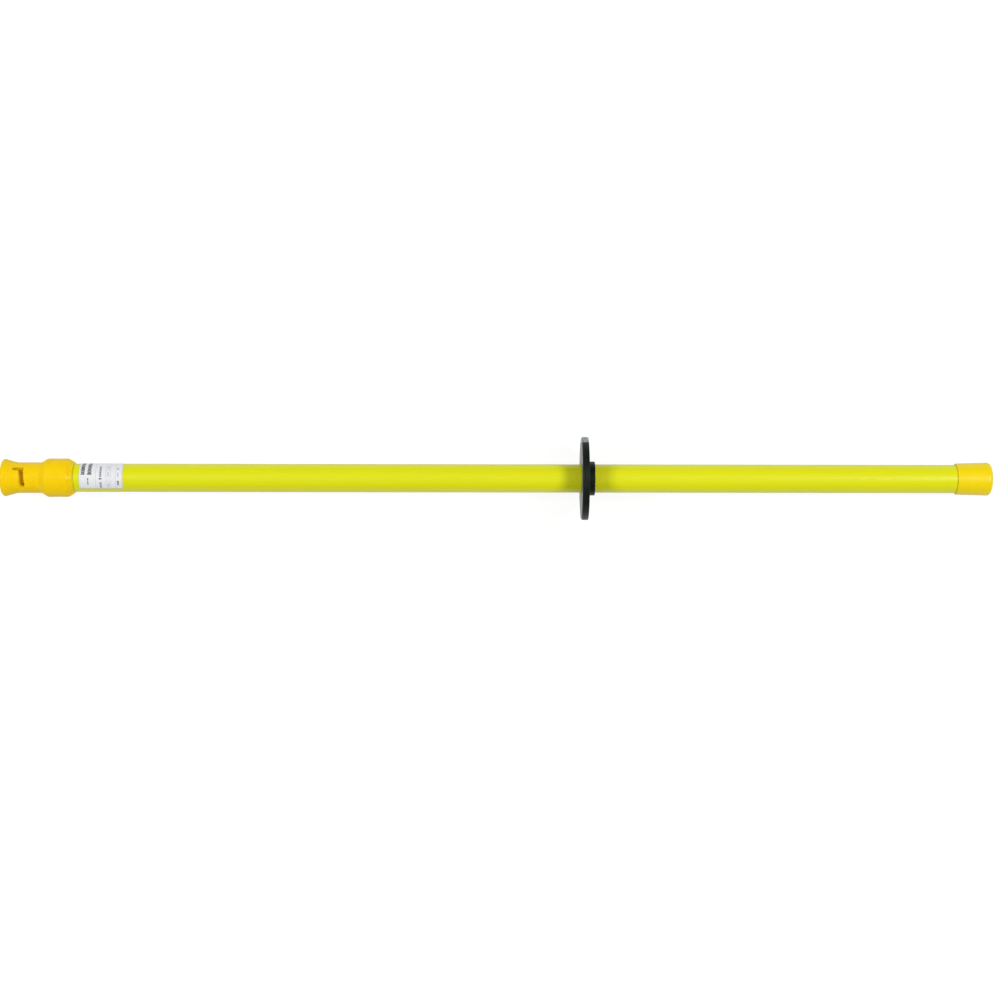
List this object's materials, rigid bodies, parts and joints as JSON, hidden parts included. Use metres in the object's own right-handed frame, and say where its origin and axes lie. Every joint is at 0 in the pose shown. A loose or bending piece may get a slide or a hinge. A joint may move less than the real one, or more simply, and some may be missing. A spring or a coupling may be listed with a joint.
{
  "type": "insulating operating pole",
  "caption": "Straight insulating pole with a spring-loaded bayonet tool socket, a wrap label, a black hand guard disc and a moulded end cap.",
  "frame": {"origin": "on the pole's axis at mid-length, which is the centre of the object's box", "axes": "+X along the pole from the socket mouth to the end cap, +Z out of the locking slot that faces up, +Y towards that slot's entry groove"},
  "size_m": [1.13, 0.0954, 0.0954],
  "materials": {
    "lime_tube": "gloss",
    "cream_foam": "matte",
    "seal_resin": "satin",
    "yellow_head": "satin",
    "yellow_plunger": "satin",
    "spring_steel": "polished",
    "dark_seat": "satin",
    "pin_steel": "satin",
    "white_label": "satin",
    "black_guard": "satin",
    "yellow_cap": "gloss"
  },
  "bodies": {
    "pole": {"insulating_tube": "lime_tube", "foam_core": "cream_foam", "front_seal": "seal_resin", "rear_seal": "seal_resin", "bayonet_head": "yellow_head", "plunger_spring": "spring_steel", "spring_seat": "dark_seat", "cross_pin": "pin_steel", "rating_label": "white_label", "hand_guard": "black_guard", "end_cap": "yellow_cap"},
    "plunger": {"tool_plunger": "yellow_plunger"}
  },
  "joints": [
    {"name": "plunger_slide", "type": "slide", "parent": "pole", "child": "plunger", "axis": [1, 0, 0], "range_m": [0, 0.007], "stiffness_N_per_m": 1500, "springref_m": -0.006, "deforming": ["plunger_spring"]}
  ]
}
